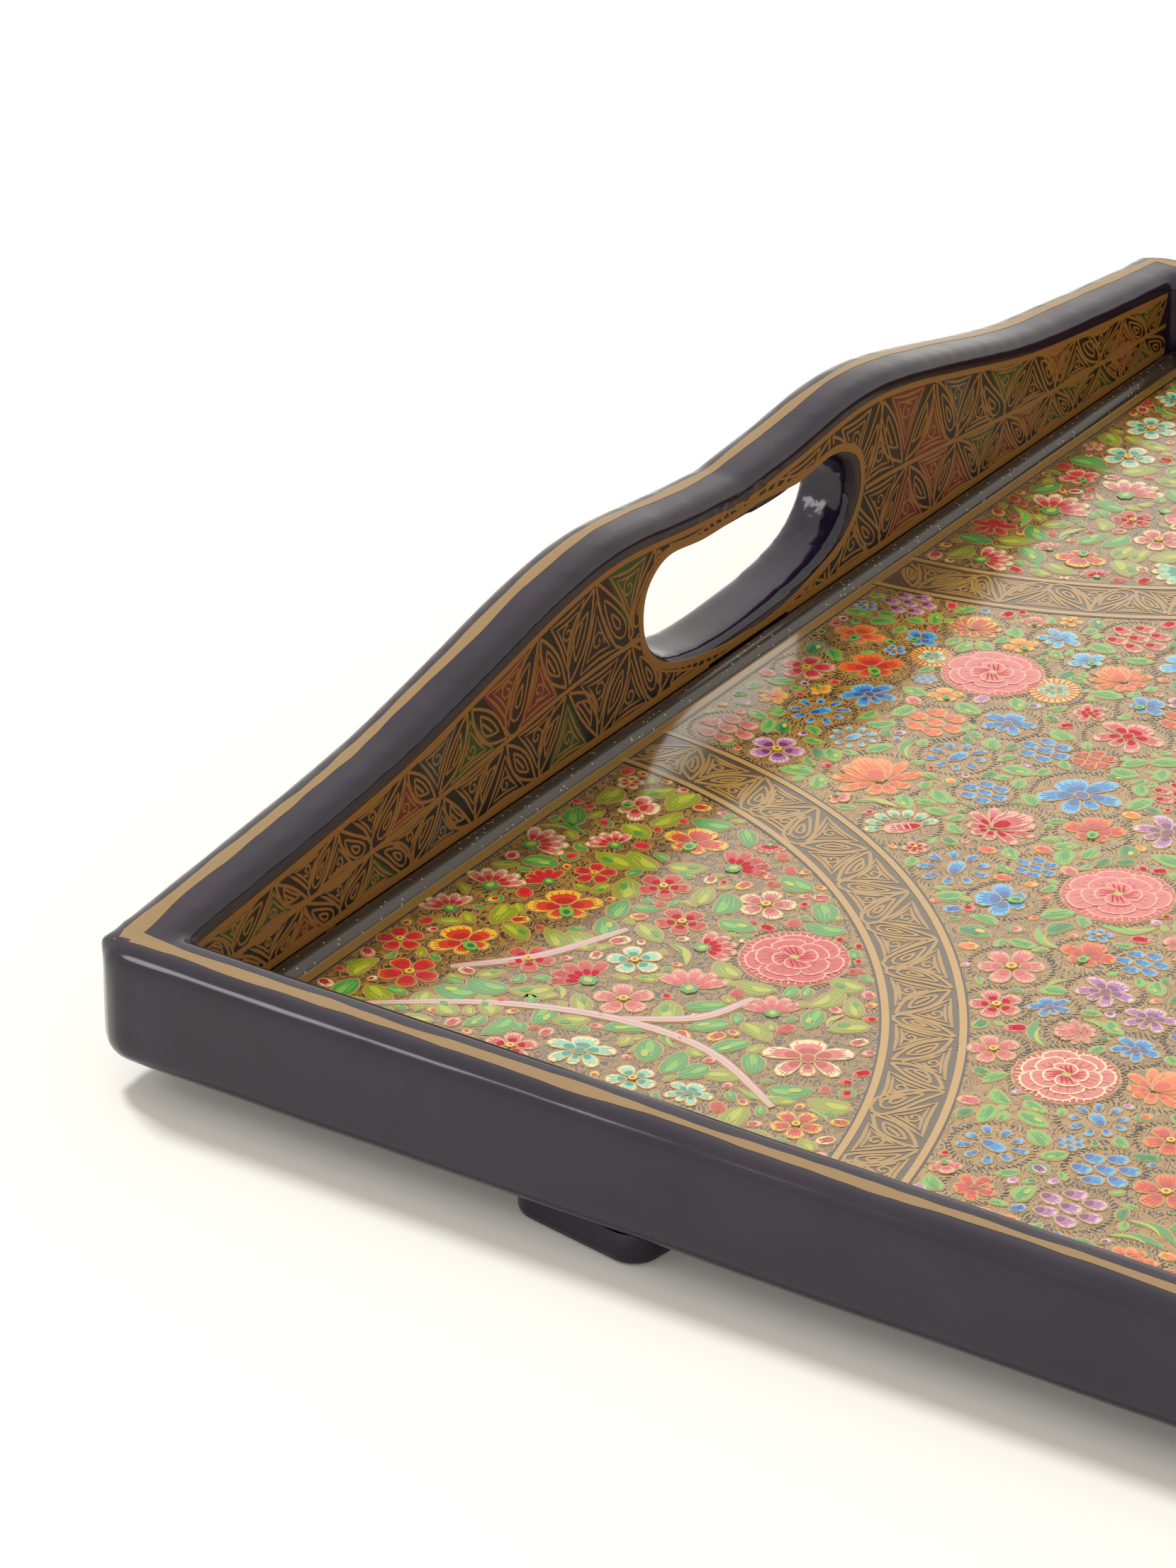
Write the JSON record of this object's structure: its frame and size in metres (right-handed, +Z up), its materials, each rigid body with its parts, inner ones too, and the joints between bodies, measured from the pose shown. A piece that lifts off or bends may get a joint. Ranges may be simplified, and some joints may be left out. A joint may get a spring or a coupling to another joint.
{
  "type": "serving tray",
  "caption": "Rectangular wooden serving tray with raised scalloped end boards, oval hand holes, low rails, block feet and a hand-painted floral base under gloss lacquer.",
  "frame": {"origin": "centre of the tray's footprint, on the surface that it stands on", "axes": "+X along the tray's length, from the left end board to the right one; +Y to the back rail; +Z up"},
  "size_m": [0.48, 0.35, 0.0461],
  "materials": {
    "black_lacquer": "wood under a thick high-gloss black lacquer with painted gold lines",
    "painted_panel": "gold ground covered with painted flowers and leaves under clear gloss lacquer",
    "steel": "dull steel nails and screws, mostly lacquered over"
  },
  "bodies": {
    "root": {"base_panel": "painted_panel", "front_rail": "black_lacquer", "back_rail": "black_lacquer", "left_end_board": "black_lacquer", "right_end_board": "black_lacquer", "front_slip": "black_lacquer", "back_slip": "black_lacquer", "left_slip": "black_lacquer", "right_slip": "black_lacquer", "foot_front_left": "black_lacquer", "foot_front_right": "black_lacquer", "foot_back_left": "black_lacquer", "foot_back_right": "black_lacquer", "corner_nail_front_left_1": "steel", "corner_nail_front_left_2": "steel", "corner_nail_front_right_1": "steel", "corner_nail_front_right_2": "steel", "corner_nail_back_left_1": "steel", "corner_nail_back_left_2": "steel", "corner_nail_back_right_1": "steel", "corner_nail_back_right_2": "steel", "foot_screw_front_left": "steel", "foot_screw_front_right": "steel", "foot_screw_back_left": "steel", "foot_screw_back_right": "steel", "panel_brad_front_1": "steel", "panel_brad_front_2": "steel", "panel_brad_front_3": "steel", "panel_brad_front_4": "steel", "panel_brad_back_1": "steel", "panel_brad_back_2": "steel", "panel_brad_back_3": "steel", "panel_brad_back_4": "steel", "panel_brad_left_1": "steel", "panel_brad_left_2": "steel", "panel_brad_left_3": "steel", "panel_brad_left_4": "steel", "panel_brad_right_1": "steel", "panel_brad_right_2": "steel", "panel_brad_right_3": "steel", "panel_brad_right_4": "steel"}
  },
  "joints": []
}
